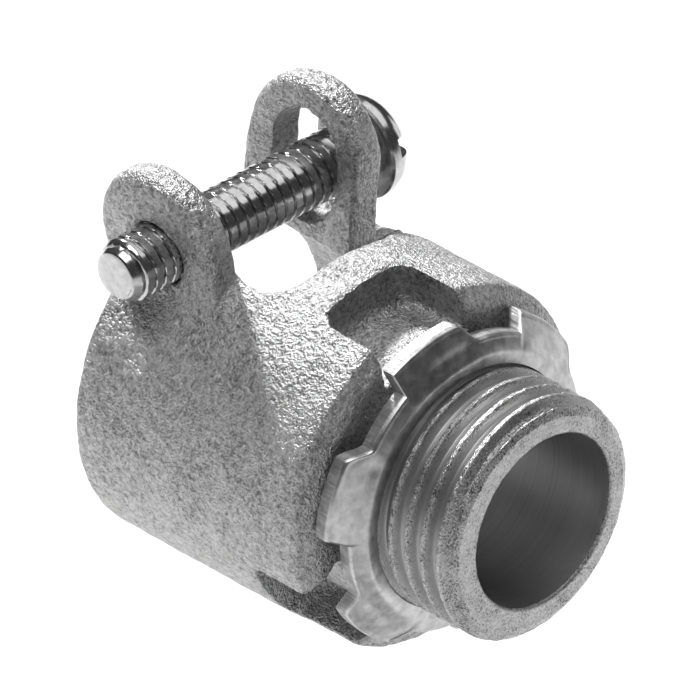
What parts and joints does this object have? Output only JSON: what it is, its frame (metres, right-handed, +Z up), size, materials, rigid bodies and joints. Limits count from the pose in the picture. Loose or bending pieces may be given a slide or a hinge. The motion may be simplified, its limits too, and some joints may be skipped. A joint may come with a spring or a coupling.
{
  "type": "straight squeeze connector",
  "caption": "Cast straight squeeze connector for flexible metal conduit, with a split clamp sleeve, a slotted clamp screw through two ears, and a lugged locknut on its threaded hub.",
  "frame": {"origin": "on the hub's axis, in the plane of the shoulder face that the locknut is drawn up against", "axes": "+X along the hub towards its threaded end, +Z up through the clamp's slit and ears, +Y along the clamp screw towards its head"},
  "size_m": [0.0411, 0.0318, 0.0391],
  "materials": {
    "casting": "rough casting, zinc plated",
    "screw": "bright zinc plate",
    "nut": "satin zinc plate"
  },
  "bodies": {
    "body": {"connector_body": "casting"},
    "screw": {"clamp_screw": "screw"},
    "nut": {"locknut": "nut"}
  },
  "joints": [
    {"name": "screw_turn", "type": "hinge", "parent": "body", "child": "screw", "pos_m": [-0.0223, 0, 0.01525], "axis": [0, 1, 0], "continuous": true},
    {"name": "locknut_turn", "type": "hinge", "parent": "body", "child": "nut", "pos_m": [0, 0, 0], "axis": [1, 0, 0], "continuous": true}
  ]
}
